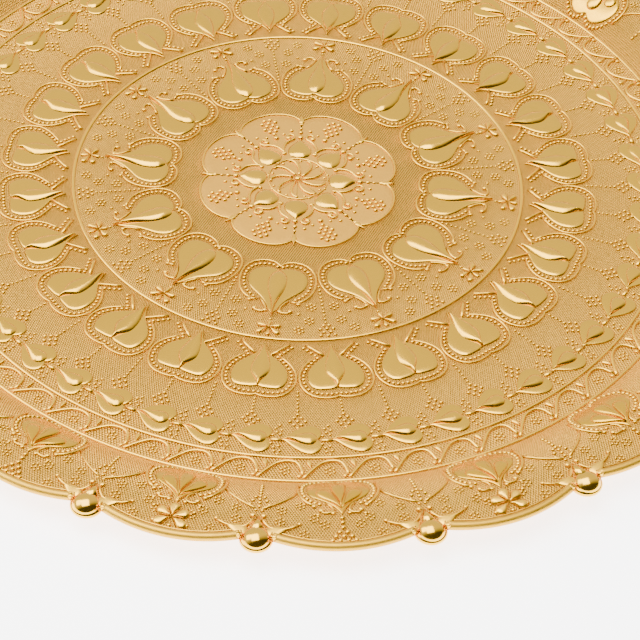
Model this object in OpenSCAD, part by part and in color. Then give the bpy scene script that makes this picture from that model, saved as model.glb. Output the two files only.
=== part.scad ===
// Round serving tray in brass with a scalloped rim, in millimetres.
// The pressed pan is one sheet. An applied half-round border follows its edge
// in one length per scallop, and a cast drop covers each joint of the border.
// The frame has its origin at the centre of the underside, with +Z up.

/* [Pan] */
// thickness of the pressed sheet
sheet_t = 1.0; // [0.6:0.1:2]
// radius at which the flat floor meets the wall
floor_r = 142.6; // [100:0.2:180]
// radius of the rounded wall's profile
wall_round = 28.0; // [15:0.5:45]
// steepness of the wall where it leaves the floor
wall_slope = 47; // [25:1:70]
// fall of the flange from its crest to the middle of a scallop
flange_fall = 0.7; // [0:0.1:2]

/* [Raised lines of the floor] */
// radius of the ring inside the outer row of hearts
rib_in_r = 80.0; // [60:0.1:100]
// radius of the ring inside the row of arches
rib_mid_r = 132.1; // [120:0.1:136]
// radius of the ring at the foot of the wall
rib_out_r = 141.9; // [137:0.1:142]
// half width of each raised ring
rib_half_w = 0.7; // [0.3:0.05:1.2]

/* [Relief] */
// height of the raised hearts and leaves above the floor
relief_h = 0.9; // [0.3:0.1:2]
// number of hearts in the inner row
inner_count = 12; // [6:1:18]
// number of hearts in the outer row
outer_count = 24; // [12:1:36]
// number of leaves in the chain
leaf_count = 48; // [24:1:60]
// number of lobes round the central medallion
lobe_count = 8; // [4:1:12]

/* [Rim] */
// number of scallops, and so of border lengths and of drops
scallops = 20; // [20:1:20]
// distance from the tray's centre to the centre of each scallop's arc
scallop_c = 125.6; // [110:0.2:140]
// outside radius of each scallop's arc
scallop_r = 51.0; // [40:0.2:60]
// turn of the first joint between scallops, from +X
first_joint = -91.8; // [-109.8:0.1:-91.8]
// diameter of the border wire
border_d = 2.9; // [2:0.1:4]
// depth of the seat that takes the sheet's edge in the border
seat_depth = 0.9; // [0.4:0.1:1.2]

/* [Drop] */
// radius of the round lobe under the drop's ball
lobe_r = 5.3; // [4:0.1:7]
// distance from the tray's centre to the ball
ball_at = 172.0; // [168:0.1:176]
// diameter of the ball
ball_d = 6.2; // [4:0.1:8]
// distance from the tray's centre to the drop's tip
tip_at = 164.6; // [160:0.1:168]
// diameter of the small curl on each side of the drop
curl_d = 2.4; // [1.5:0.1:3.5]

/* [Hidden] */
$fn = 96;
seat_gap = 0.02;
step_angle = 360 / scallops;
floor_z = sheet_t;
crest_r = floor_r + wall_round * sin(wall_slope);
crest_z = floor_z + wall_round * (1 - cos(wall_slope));
round_z = crest_z - wall_round;
border_r = border_d / 2;
border_arc_r = scallop_r - border_r;
sheet_arc_r = border_arc_r - border_r + seat_depth;
edge_r = scallop_c + sheet_arc_r;
flange_slope = flange_fall / (edge_r - crest_r);
edge_z = crest_z - flange_fall;
border_z = edge_z - sheet_t / 2 + 0.3;
lobe_low = border_z - border_r;
lobe_top = border_z + border_r - 0.5;
ball_z = border_z + 0.3;
// half of the turn of a border length about its scallop's centre, to the joint
half_turn = atan2(ball_at * sin(step_angle / 2), ball_at * cos(step_angle / 2) - scallop_c);
tail_start = 1;
tail_r = ball_d / 2 - 0.5;
tail_tip_r = 0.5;
// place of each curl beside the lobe, inwards and sideways from the ball
curl_in = 3.8;
curl_side = 4.5;
// radii between which the cutting shapes reach past the sheet
cut_in_r = crest_r - 6;
cut_out_r = ball_at + lobe_r + 5;
slab_side = 2 * lobe_r;

// Angle of the joint before scallop i, and of the middle of scallop i, from 1.
function joint_angle(i) = first_joint + (i - 1) * step_angle;
function mid_angle(i) = joint_angle(i) + step_angle / 2;

// Half section of the sheet: floor, rounded wall and flange, out to radius r.
module sheet_section(r) {
    // floor
    square([floor_r, sheet_t]);
    // wall, a band of a circle that is level at the crest
    intersection() {
        difference() {
            translate([crest_r, round_z]) circle(r = wall_round, $fn = 360);
            translate([crest_r, round_z]) circle(r = wall_round - sheet_t, $fn = 360);
        }
        polygon([
            [crest_r, round_z],
            [crest_r, crest_z + 1],
            [floor_r - 4, crest_z + 1],
            [floor_r - 4, 0],
            [floor_r + 1, 0]
        ]);
    }
    // flange, falling gently to its edge
    polygon([
        [crest_r, crest_z],
        [r, flange_z(r)],
        [r, flange_z(r) - sheet_t],
        [crest_r, crest_z - sheet_t]
    ]);
}

// The sheet as a body of revolution, before its edge is cut to scallops.
module sheet_round() {
    rotate_extrude($fn = 180) sheet_section(scallop_c + scallop_r);
}

// Plan of the scalloped edge, with arcs of radius r.
module scallop_plan(r) {
    circle(r = scallop_c + 20, $fn = 180);
    for (i = [1:scallops])
        rotate(mid_angle(i)) translate([scallop_c, 0]) circle(r = r, $fn = 180);
}

// Plan of a heart, tip at the origin, lobes towards +X.
module heart_plan(length, width) {
    lobe = width * 0.28;
    side = width / 2 - lobe;
    for (s = [-1, 1])
        translate([length - lobe, s * side]) circle(r = lobe);
    polygon([
        [0, 0],
        [length * 0.35, -width * 0.12],
        [length - lobe - width * 0.2, -width * 0.41],
        [length - lobe, -side],
        [length - lobe * 0.6, 0],
        [length - lobe, side],
        [length - lobe - width * 0.2, width * 0.41],
        [length * 0.35, width * 0.12]
    ]);
}

// Plan of a leaf, point at the origin, round end towards +X.
module leaf_plan(length, width) {
    translate([length - width / 2, 0]) circle(d = width);
    polygon([
        [0, 0],
        [length - width * 0.7, -width * 0.458],
        [length - width / 2, 0],
        [length - width * 0.7, width * 0.458]
    ]);
}

// The raised hearts, leaves and medallion, standing on the floor.
module relief() {
    translate([0, 0, floor_z - 0.3]) linear_extrude(relief_h + 0.3) {
        for (k = [0:inner_count - 1])
            rotate(-95 + k * 360 / inner_count) translate([69, 0]) mirror([1, 0])
                heart_plan(23.2, 20.2);
        for (k = [0:outer_count - 1])
            rotate(-95 + k * 360 / outer_count) translate([82, 0])
                heart_plan(20.3, 17.9);
        for (k = [0:leaf_count - 1])
            rotate(-91.2 + k * 360 / leaf_count) translate([124.5, -6.7]) rotate(90)
                leaf_plan(13.4, 12.0);
        for (k = [0:lobe_count - 1])
            rotate(90 + k * 360 / lobe_count) translate([15.5, 0]) circle(r = 3.4);
        circle(r = 10, $fn = 96);
    }
}

// Raised half-round rings of the floor.
module floor_ribs() {
    for (r = [rib_in_r, rib_mid_r, rib_out_r])
        translate([0, 0, floor_z]) rotate_extrude($fn = 180)
            translate([r, 0]) circle(r = rib_half_w, $fn = 24);
}

module tray_pan() {
    color([0.85, 0.70, 0.40]) {
        intersection() {
            sheet_round();
            translate([0, 0, -1]) linear_extrude(crest_z + 2) scallop_plan(sheet_arc_r);
        }
        relief();
        intersection() {
            floor_ribs();
            cylinder(r = floor_r, h = crest_z, $fn = 180);
        }
    }
}

// Height of the flange's top at radius r, on the line that falls from the crest.
function flange_z(r) = crest_z - flange_slope * (r - crest_r);

// A wedge of a body of revolution, one step either side of the angle a.
module wedge(a) {
    rotate(a - step_angle) rotate_extrude(angle = 2 * step_angle, $fn = 180) children();
}

// The sheet's edge about scallop i, with a little room for fitting.
module sheet_edge(i) {
    intersection() {
        wedge(mid_angle(i)) polygon([
            [cut_in_r, flange_z(cut_in_r) + seat_gap],
            [cut_out_r, flange_z(cut_out_r) + seat_gap],
            [cut_out_r, flange_z(cut_out_r) - sheet_t - seat_gap],
            [cut_in_r, flange_z(cut_in_r) - sheet_t - seat_gap]
        ]);
        rotate(mid_angle(i)) translate([scallop_c, 0, 0])
            cylinder(r = sheet_arc_r + seat_gap, h = crest_z + 2, $fn = 180);
    }
}

// A slab along the flange at the angle a: from low below the flange's top, to high above it.
module flange_slab(a, low, high) {
    rotate(a) translate([crest_r, 0, crest_z]) rotate([0, atan(flange_slope), 0])
        translate([cut_in_r - crest_r, -slab_side, -low])
            cube([cut_out_r - cut_in_r, 2 * slab_side, low + high]);
}

// One length of border, from joint to joint, seated on the sheet's edge.
module rim_border(i) {
    color([0.87, 0.72, 0.42]) difference() {
        rotate(mid_angle(i)) translate([scallop_c, 0, border_z])
            rotate([0, 0, -half_turn]) rotate_extrude(angle = 2 * half_turn, $fn = 180)
                translate([border_arc_r, 0]) circle(r = border_r, $fn = 48);
        sheet_edge(i);
        for (j = [i, i + 1])
            rotate(joint_angle(j)) translate([ball_at, 0, 0])
                cylinder(r = lobe_r + seat_gap, h = crest_z + 6);
    }
}

// The lobe of a drop, slotted for the sheet's edge.
module drop_lobe(i) {
    difference() {
        rotate(joint_angle(i)) translate([ball_at, 0, lobe_low])
            cylinder(r = lobe_r, h = lobe_top - lobe_low);
        for (j = [i - 1, i])
            intersection() {
                flange_slab(joint_angle(i), sheet_t + seat_gap, seat_gap);
                rotate(mid_angle(j)) translate([scallop_c, 0, 0])
                    cylinder(r = sheet_arc_r + seat_gap, h = crest_z + 2, $fn = 180);
            }
    }
}

// The ball, tail and curls of a drop, which stand on the flange.
module drop_crown(i) {
    difference() {
        rotate(joint_angle(i)) {
            translate([ball_at, 0, ball_z]) sphere(d = ball_d);
            translate([ball_at - tail_start, 0, ball_z]) rotate([0, -90, 0])
                cylinder(r1 = tail_r, r2 = tail_tip_r, h = ball_at - tail_start - tip_at);
            for (s = [-1, 1])
                translate([ball_at - curl_in, s * curl_side, ball_z]) sphere(d = curl_d);
        }
        flange_slab(joint_angle(i), crest_z - 1, seat_gap);
    }
}

// One cast drop, which covers the joint before border length i.
module rim_drop(i) {
    color([0.88, 0.74, 0.44]) {
        drop_lobe(i);
        drop_crown(i);
    }
}

tray_pan();
rim_border(1);  // rim_border_01
rim_border(2);  // rim_border_02
rim_border(3);  // rim_border_03
rim_border(4);  // rim_border_04
rim_border(5);  // rim_border_05
rim_border(6);  // rim_border_06
rim_border(7);  // rim_border_07
rim_border(8);  // rim_border_08
rim_border(9);  // rim_border_09
rim_border(10);  // rim_border_10
rim_border(11);  // rim_border_11
rim_border(12);  // rim_border_12
rim_border(13);  // rim_border_13
rim_border(14);  // rim_border_14
rim_border(15);  // rim_border_15
rim_border(16);  // rim_border_16
rim_border(17);  // rim_border_17
rim_border(18);  // rim_border_18
rim_border(19);  // rim_border_19
rim_border(20);  // rim_border_20
rim_drop(1);  // rim_drop_01
rim_drop(2);  // rim_drop_02
rim_drop(3);  // rim_drop_03
rim_drop(4);  // rim_drop_04
rim_drop(5);  // rim_drop_05
rim_drop(6);  // rim_drop_06
rim_drop(7);  // rim_drop_07
rim_drop(8);  // rim_drop_08
rim_drop(9);  // rim_drop_09
rim_drop(10);  // rim_drop_10
rim_drop(11);  // rim_drop_11
rim_drop(12);  // rim_drop_12
rim_drop(13);  // rim_drop_13
rim_drop(14);  // rim_drop_14
rim_drop(15);  // rim_drop_15
rim_drop(16);  // rim_drop_16
rim_drop(17);  // rim_drop_17
rim_drop(18);  // rim_drop_18
rim_drop(19);  // rim_drop_19
rim_drop(20);  // rim_drop_20
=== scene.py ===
"""Looks of the brass serving tray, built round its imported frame."""

import math

import bmesh
import bpy
from mathutils import Matrix, Vector


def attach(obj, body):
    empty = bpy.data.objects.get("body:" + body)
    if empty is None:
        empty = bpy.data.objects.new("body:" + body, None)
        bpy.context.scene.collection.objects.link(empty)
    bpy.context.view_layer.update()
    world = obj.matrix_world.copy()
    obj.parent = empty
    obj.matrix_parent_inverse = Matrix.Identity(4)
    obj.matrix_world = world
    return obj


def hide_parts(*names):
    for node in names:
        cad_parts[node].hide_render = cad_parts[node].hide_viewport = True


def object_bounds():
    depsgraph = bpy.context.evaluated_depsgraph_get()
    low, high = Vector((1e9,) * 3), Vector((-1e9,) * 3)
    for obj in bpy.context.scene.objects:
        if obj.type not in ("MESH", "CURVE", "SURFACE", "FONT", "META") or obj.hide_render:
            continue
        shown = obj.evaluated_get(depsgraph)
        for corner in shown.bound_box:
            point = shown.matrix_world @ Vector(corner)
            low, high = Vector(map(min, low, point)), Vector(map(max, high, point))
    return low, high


bl_info = {
    "name": "Embossed Brass Tray",
    "version": (1, 0, 0),
    "blender": (4, 5, 0),
    "location": "View3D > Sidebar > Brass Tray",
    "description": "Builds the embossed sheet, border and drops of a round brass tray",
    "category": "Object",
}

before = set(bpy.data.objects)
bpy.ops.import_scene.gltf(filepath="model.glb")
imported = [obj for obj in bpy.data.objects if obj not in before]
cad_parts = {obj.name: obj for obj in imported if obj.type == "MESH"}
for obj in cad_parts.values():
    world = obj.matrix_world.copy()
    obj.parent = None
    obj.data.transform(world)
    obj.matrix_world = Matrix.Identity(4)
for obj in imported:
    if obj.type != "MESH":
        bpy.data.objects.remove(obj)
cad_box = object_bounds()

# Motifs are drawn in millimetres and made metres as they become pieces.
MM = 0.001
# How far a motif's foot goes below the sheet's top face.
FOOT = 0.25
# A point this far above the sheet counts as fully raised and gets no painted shade.
FULL_RISE = 0.40
# What keeps the sheet's underside clear of the surface it stands on, in metres.
CLEARANCE = 0.00001
# Turns of the first motif of each row.
HEARTS_TURN = math.radians(-95.0)
LEAVES_TURN = math.radians(-94.3)
ARCHES_TURN = math.radians(-95.3)
LOBES_TURN = math.radians(-67.5)
BOSSES_TURN = math.radians(90.0)
# Height of the medallion's raised ground, and of the foot of the motifs on it.
MEDAL_RISE = 0.14
MEDAL_BASE = 0.1
# Spacing of the beads along a dotted stem.
STEM_PITCH = 1.7


# ------------------------------------------------------------------ settings


def length(name, description, default):
    """A property in metres."""
    return bpy.props.FloatProperty(name=name, description=description, default=default, unit="LENGTH")


def angle(name, description, degrees):
    """An angle property whose default is given in degrees."""
    return bpy.props.FloatProperty(
        name=name, description=description, default=math.radians(degrees), subtype="ANGLE", unit="ROTATION"
    )


def share(name, description, default):
    """A property from 0 to 1."""
    return bpy.props.FloatProperty(name=name, description=description, default=default, subtype="FACTOR")


def colour(name, description, default):
    """A colour property."""
    return bpy.props.FloatVectorProperty(
        name=name, description=description, default=default, subtype="COLOR", size=3
    )


def number(name, description, default):
    """A whole number property."""
    return bpy.props.IntProperty(name=name, description=description, default=default)


class TRAY_PG_sheet(bpy.types.PropertyGroup):
    """Sizes of the pressed sheet."""

    thickness: length("Thickness", "Thickness of the sheet", 0.0010)
    floor_radius: length("Floor radius", "Where the floor meets the wall", 0.1426)
    wall_round: length("Wall rounding", "Radius of the wall's profile", 0.0280)
    wall_slope: angle("Wall slope", "Steepness of the wall at the floor", 47.0)
    flange_fall: length("Flange fall", "Fall from the crest to the edge", 0.0007)
    ring_inner: length("Inner ring", "Radius of the inner raised ring", 0.0800)
    ring_middle: length("Middle ring", "Radius of the middle raised ring", 0.1321)
    ring_outer: length("Outer ring", "Radius of the raised ring at the wall", 0.1419)
    hatch_pitch: length("Hatch pitch", "Spacing of the ground's fine lines", 0.00078)


class TRAY_PG_relief(bpy.types.PropertyGroup):
    """Numbers and heights of the embossed motifs."""

    inner_hearts: number("Inner hearts", "Hearts in the inner row", 12)
    outer_hearts: number("Outer hearts", "Hearts in the outer row", 24)
    leaves: number("Leaves", "Leaves in the chain", 48)
    arches: number("Arches", "Arches between the outer rings", 60)
    lobes: number("Lobes", "Lobes of the medallion", 8)
    height: length("Relief height", "Height of the hearts' plates", 0.00055)
    bead: length("Bead", "Radius of the small beads", 0.00072)
    bead_pitch: length("Bead pitch", "Spacing of beads in a row", 0.00160)
    line: length("Line", "Half width of the thin raised lines", 0.00048)


class TRAY_PG_rim(bpy.types.PropertyGroup):
    """Sizes of the scalloped border and its drops."""

    scallops: number("Scallops", "Scallops round the rim", 20)
    first_joint: angle("First joint", "Turn of the first joint of the border", -91.8)
    scallop_centre: length("Scallop centre", "Tray centre to scallop centre", 0.1256)
    scallop_radius: length("Scallop radius", "Outside radius of a scallop", 0.0510)
    border_diameter: length("Border", "Diameter of the border", 0.0029)
    lobe_radius: length("Lobe", "Radius of the lobe round the ball", 0.0053)
    ball_at: length("Ball at", "Tray centre to ball", 0.1720)
    ball_diameter: length("Ball", "Diameter of the ball", 0.0062)
    tip_at: length("Tip at", "Tray centre to the drop's tip", 0.1635)


class TRAY_PG_finish(bpy.types.PropertyGroup):
    """Colours and polish of the brass."""

    ground: colour("Ground", "Colour of the matt ground", (0.90, 0.485, 0.050))
    relief: colour("Relief", "Colour of the polished relief", (0.82, 0.455, 0.026))
    # painted shade: this colour is painted into crevices and the feet of the relief as shade; it is also the
    # tarnish colour of relief, medallion, border and drops
    shade: colour("Shade", "Colour of the brass in crevices", (0.24, 0.155, 0.020))
    ground_roughness: share("Ground roughness", "Roughness of the ground", 0.42)
    relief_roughness: share("Relief roughness", "Roughness of the relief", 0.17)


class TRAY_PG_stage(bpy.types.PropertyGroup):
    """Camera and floor."""

    elevation: angle("Elevation", "Height of the camera's view", 45.51)
    roll: angle("Roll", "Roll of the camera", 3.05)
    lens: bpy.props.FloatProperty(name="Lens", description="Focal length in mm", default=136.8)
    camera_at: bpy.props.FloatVectorProperty(
        name="Camera",
        description="Place of the camera",
        default=(0.01054, -0.6442, 0.5857),
        subtype="XYZ",
        size=3,
    )
    floor_size: length("Floor", "Side of the pale floor", 8.0)


# ------------------------------------------------------------- plane drawing


def bezier(p0, p1, p2, p3, count):
    """Points along a cubic curve, without its first point."""
    points = []
    for k in range(1, count + 1):
        t = k / count
        s = 1.0 - t
        points.append(
            tuple(
                s**3 * a + 3 * s * s * t * b + 3 * s * t * t * c + t**3 * d
                for a, b, c, d in zip(p0, p1, p2, p3)
            )
        )
    return points


def chain(start, *curves, count=6):
    """Points along cubic curves that follow on from each other."""
    points = [start]
    for c1, c2, end in curves:
        points += bezier(points[-1], c1, c2, end, count)
    return points


def both_sides(half):
    """A closed outline from its +y half, whose first and last points lie on the x axis."""
    return half + [(x, -y) for x, y in reversed(half[1:-1])]


def across(half):
    """An open path through a +y half and its mirror image, starting at the -y end."""
    return [(x, -y) for x, y in reversed(half[1:])] + half


def mirrored(points, sign):
    """The same points, on the +y side or the -y side."""
    return [(x, sign * y) for x, y in points]


def moved(points, dx, dy=0.0, turn=0.0):
    """Points turned and shifted."""
    c, s = math.cos(turn), math.sin(turn)
    return [(dx + c * x - s * y, dy + s * x + c * y) for x, y in points]


def spaced(path, pitch):
    """Points at an even spacing near pitch along a path, both ends included."""
    steps = [math.dist(a, b) for a, b in zip(path, path[1:])]
    total = sum(steps)
    gaps = max(1, round(total / pitch))
    points, index, used = [path[0]], 0, 0.0
    for k in range(1, gaps):
        target = total * k / gaps
        while used + steps[index] < target:
            used += steps[index]
            index += 1
        t = (target - used) / steps[index]
        a, b = path[index], path[index + 1]
        points.append((a[0] + (b[0] - a[0]) * t, a[1] + (b[1] - a[1]) * t))
    points.append(path[-1])
    return points


def teardrop(length, width, count=7):
    """Outline of a drop with its tip at the origin and its round end at x = length."""
    r = width / 2
    half = chain(
        (0.0, 0.0),
        ((length * 0.30, r * 0.10), (length * 0.50, r), (length - r, r)),
        ((length - r * 0.45, r), (length, r * 0.55), (length, 0.0)),
        count=count,
    )
    return both_sides(half)


# ------------------------------------------------------------ relief in bmesh


def start_ring(bm, points, closed=True):
    """Makes a ring of vertices joined by edges."""
    ring = [bm.verts.new(point) for point in points]
    for a, b in zip(ring, ring[1:]):
        bm.edges.new((a, b))
    if closed:
        bm.edges.new((ring[-1], ring[0]))
    return ring


def ring_edges(bm, ring):
    """The edges of a ring of vertices."""
    return [bm.edges.get(pair) for pair in zip(ring, ring[1:] + ring[:1])]


def extrude_to(bm, ring, places):
    """Extrudes a ring of vertices to new places and returns the new ring in the same order."""
    out = bmesh.ops.extrude_edge_only(bm, edges=ring_edges(bm, ring))
    fresh = {item for item in out["geom"] if isinstance(item, bmesh.types.BMVert)}
    ring = [next(e.other_vert(v) for e in v.link_edges if e.other_vert(v) in fresh) for v in ring]
    for vert, place in zip(ring, places):
        vert.co = place
    return ring


def cap(bm, ring):
    """Closes a ring with one face."""
    bmesh.ops.contextual_create(bm, geom=ring_edges(bm, ring))


def turn_all(bm, angle, centre=(0, 0, 0)):
    """Turns what a bmesh holds about an upright axis."""
    bmesh.ops.rotate(bm, verts=bm.verts, cent=centre, matrix=Matrix.Rotation(angle, 3, "Z"))


def spin_round(bm, steps):
    """Spins the profiles in a bmesh once round the z axis."""
    bmesh.ops.spin(
        bm,
        geom=bm.verts[:] + bm.edges[:],
        cent=(0, 0, 0),
        axis=(0, 0, 1),
        angle=2 * math.pi,
        steps=steps,
        use_merge=True,
    )


# Sections of the raised shapes, as (share of the outline, share of the height) from foot to top.
PLATE = ((1.0, 0.0), (0.98, 0.38), (0.94, 0.66), (0.86, 0.82), (0.70, 0.94), (0.44, 1.0))
BOSS = ((1.0, 0.0), (0.92, 0.24), (0.80, 0.50), (0.60, 0.78), (0.38, 0.94), (0.16, 1.0))
ROUND = ((1.0, 0.0), (0.95, 0.36), (0.86, 0.62), (0.70, 0.84), (0.46, 0.96), (0.20, 1.0))
MEDAL = ((1.0, 0.4), (0.985, 1.0), (0.90, 1.0), (0.60, 1.0), (0.30, 1.0), (0.04, 1.0))
DOT = ((1.0, 0.0), (0.90, 0.40), (0.64, 0.76), (0.30, 0.97))
PETAL = ROUND[::2] + ROUND[-1:]
# Section of a raised line, as (share of the half width, share of the height). None is the foot.
LINE = ((-1.0, None), (-0.88, 0.38), (-0.52, 0.84), (0.0, 1.0), (0.52, 0.84), (0.88, 0.38), (1.0, None))
# Inner rings of a plate that follows the bend of the wall.
BENT = (0.8, 0.6, 0.4, 0.22, 0.08)


def dome(bm, outline, spine, height, base=0.0, steps=ROUND, inner=()):
    """Raises an outline towards a spine from x0 to x1 on the x axis, or towards a point.

    The inner shares add rings below and above, so that a wide plate follows a bent sheet.
    """
    x0, x1, axis_y = spine
    targets = [(min(max(x, x0), x1), axis_y) for x, y in outline]

    def at(part, z):
        return [(tx + (x - tx) * part, ty + (y - ty) * part, z) for (x, y), (tx, ty) in zip(outline, targets)]

    levels = [(part, base - FOOT) for part in (*reversed(inner), 1.0)]
    levels += [(part, base + rise * height) for part, rise in steps]
    levels += [(part, base + steps[-1][1] * height) for part in inner if part < steps[-1][0]]
    ring = start_ring(bm, at(*levels[0]))
    cap(bm, ring)
    for level in levels[1:]:
        ring = extrude_to(bm, ring, at(*level))
    cap(bm, ring)


def ridge(bm, path, half_w, height, base=0.0, closed=False):
    """Sweeps a half-round line along a path."""
    n = len(path)
    rings = []
    for i, (x, y) in enumerate(path):
        a = path[i - 1] if (i or closed) else path[0]
        b = path[(i + 1) % n] if (i < n - 1 or closed) else path[-1]
        tx, ty = b[0] - a[0], b[1] - a[1]
        norm = math.hypot(tx, ty) or 1.0
        nx, ny = -ty / norm * half_w, tx / norm * half_w
        places = [(x + nx * s, y + ny * s, base + (h * height if h else -FOOT)) for s, h in LINE]
        rings.append(extrude_to(bm, rings[-1], places) if rings else start_ring(bm, places))
    if closed:
        bmesh.ops.bridge_loops(bm, edges=ring_edges(bm, rings[0]) + ring_edges(bm, rings[-1]))
    else:
        cap(bm, rings[0])
        cap(bm, rings[-1])


def bead(bm, x, y, radius, base=0.0, smooth=False, rise=0.85):
    """A small domed dot, with more sides where it is large enough to show them."""
    sides, steps = (12, ROUND) if smooth else (7, DOT)
    turns = [2 * math.pi * k / sides for k in range(sides)]
    outline = [(x + radius * math.cos(a), y + radius * math.sin(a)) for a in turns]
    dome(bm, outline, (x, x, y), radius * rise, base, steps)


def bead_row(bm, path, pitch, radius):
    """Beads at an even pitch along a path."""
    for x, y in spaced(path, pitch):
        bead(bm, x, y, radius)


def floret(bm, x, y, size=1.42, radius=0.58):
    """Six small dots round one in the middle."""
    bead(bm, x, y, radius)
    for k in range(6):
        a = math.pi * k / 3
        bead(bm, x + size * math.cos(a), y + size * math.sin(a), radius)


def cluster(bm, spots, radius, base=0.0):
    """Beads at given spots."""
    for x, y in spots:
        bead(bm, x, y, radius, base)


def floret_pairs(bm, spots, *size):
    """Florets on both sides of the x axis, from their radii and their distances off it along the arc."""
    for r, off in spots:
        for turn in (off / r, -off / r):
            floret(bm, r * math.cos(turn), r * math.sin(turn), *size)


def petals(bm, x, length, width, height, degrees):
    """Petals that leave a point on the x axis at the given turns."""
    shape = teardrop(length, width, count=4)
    for turn in degrees:
        part = bmesh.new()
        dome(part, shape, (length * 0.35, length - width / 2, 0.0), height, steps=PETAL)
        turn_all(part, math.radians(turn))
        bmesh.ops.translate(part, verts=part.verts, vec=(x, 0, 0))
        add_to(bm, part)


def add_to(bm, other):
    """Moves what one bmesh holds into another."""
    mesh = bpy.data.meshes.new("motif")
    other.to_mesh(mesh)
    other.free()
    bm.from_mesh(mesh)
    bpy.data.meshes.remove(mesh)


def repeat(bm, count, first_turn):
    """Turns a motif to its first place and copies it round the centre."""
    turn_all(bm, first_turn)
    if count > 1:
        bmesh.ops.spin(
            bm,
            geom=bm.verts[:] + bm.edges[:] + bm.faces[:],
            cent=(0, 0, 0),
            axis=(0, 0, 1),
            angle=2 * math.pi * (count - 1) / count,
            steps=count - 1,
            use_duplicate=True,
        )


# Places of the beads in each bunch, and of the florets, with the bunch on the x axis.
INNER_BUNCH = (
    (73.4, 0.9), (73.4, -0.9), (74.9, 0.0), (75.0, 2.2), (75.0, -2.2), (76.5, 1.2), (76.5, -1.2), (78.1, 0.0),
    (77.9, 2.4), (77.9, -2.4),
)
OUTER_BUNCH = (
    (113.6, 0.0), (115.0, 1.2), (115.0, -1.2), (116.5, 0.0), (116.6, 2.5), (116.6, -2.5), (118.0, 1.2),
    (118.0, -1.2), (119.4, 0.0),
)
MEDAL_BUNCH = (
    (25.2, 0.0), (26.8, 1.1), (26.8, -1.1), (28.3, 0.0), (28.4, 2.4), (28.4, -2.4), (29.9, 1.2), (29.9, -1.2),
    (31.4, 0.0), (31.4, 2.5), (31.4, -2.5), (33.0, 1.1), (33.0, -1.1),
)
FIELD_FLORETS = ((64.5, 3.9), (71.0, 5.5), (75.4, 9.5))
FLANGE_FLORETS = (
    (159.4, 12.6), (161.6, 7.0), (166.0, 6.8), (164.4, 17.2), (170.6, 14.6), (166.9, 20.6),
)
RIM_BUNCH = (
    (164.6, 0.0), (166.3, 0.0), (168.2, 0.0), (169.9, 1.2), (169.9, -1.2), (171.5, 0.0), (171.5, 2.5),
    (171.5, -2.5), (173.0, 1.3), (173.0, -1.3), (173.0, 3.7), (173.0, -3.7), (174.4, 0.0),
)


FLOWER_DOTS = ((161.8, 0.0), (172.4, 0.0), (171.4, 5.4), (171.4, -5.4), (166.0, 6.4), (166.0, -6.4))
LEAF_DOTS = (
    (-1.8, -1.6), (1.8, -1.8), (-3.2, -0.4), (3.4, -0.8), (-4.8, -1.0), (5.0, -0.4),
    (-2.4, 0.8), (2.6, 0.8), (-6.2, 0.2), (6.2, 0.8), (-4.2, 1.0), (4.6, 1.4),
)


class Sheet:
    """The top face of the sheet, in millimetres."""

    def __init__(self, scene):
        settings, rim, relief = scene.tray_sheet, scene.tray_rim, scene.tray_relief
        self.thickness = settings.thickness / MM
        self.floor_r = settings.floor_radius / MM
        self.round = settings.wall_round / MM
        self.fall = settings.flange_fall / MM
        self.crest_r = self.floor_r + self.round * math.sin(settings.wall_slope)
        self.crest_z = self.thickness + self.round * (1 - math.cos(settings.wall_slope))
        # the border sits this far over the sheet's edge
        seat = 0.9
        self.scallop_at = rim.scallop_centre / MM
        self.arc_r = (rim.scallop_radius - rim.border_diameter) / MM + seat
        self.edge_r = self.scallop_at + self.arc_r
        self.border_r = rim.border_diameter / MM / 2
        self.border_z = self.crest_z - self.fall - self.thickness / 2 + 0.3
        self.step = 2 * math.pi / rim.scallops
        self.plate = relief.height / MM
        self.bead, self.pitch, self.line = relief.bead / MM, relief.bead_pitch / MM, relief.line / MM

    def height(self, r):
        """Height and slope of the top face at radius r."""
        if r <= self.floor_r:
            return self.thickness, 0.0
        if r < self.crest_r:
            rest = self.crest_r - r
            drop = math.sqrt(self.round**2 - rest**2)
            return self.crest_z - self.round + drop, rest / drop
        fall = self.fall / (self.edge_r - self.crest_r)
        return self.crest_z - fall * (r - self.crest_r), -fall

    def drape(self, bm):
        """Lays a motif drawn flat on the top face, and stores how far each point rises, which the materials
        use as the mask for painted shade at the feet of the relief.
        """
        layer = bm.verts.layers.float.new("rise")
        for vert in bm.verts:
            vert[layer] = min(max(vert.co.z / FULL_RISE, 0.0), 1.0)
            flat = vert.co.xy
            z, slope = self.height(flat.length)
            rise = vert.co.z / math.hypot(1.0, slope)
            if slope and flat.length:
                away = flat.normalized() * slope * rise
                vert.co.x -= away.x
                vert.co.y -= away.y
            vert.co.z = z + rise

    def emboss(self, name, bm, material, count=1, first_turn=0.0):
        """Repeats a motif drawn flat round the tray and makes it a piece that lies on the sheet."""
        repeat(bm, count, first_turn)
        self.drape(bm)
        make_piece(name, bm, material)


def make_piece(name, bm, material, nodes=()):
    """Turns a bmesh in millimetres into a piece that rides on the tray."""
    bmesh.ops.recalc_face_normals(bm, faces=bm.faces)
    bmesh.ops.scale(bm, vec=(MM, MM, MM), verts=bm.verts)
    mesh = bpy.data.meshes.new(name)
    bm.to_mesh(mesh)
    bm.free()
    mesh.shade_smooth()
    mesh.materials.append(material)
    piece = bpy.data.objects.new(name, mesh)
    bpy.context.scene.collection.objects.link(piece)
    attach(piece, "root")
    if nodes:
        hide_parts(*nodes)
    return piece


# ----------------------------------------------------------------- materials


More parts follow.
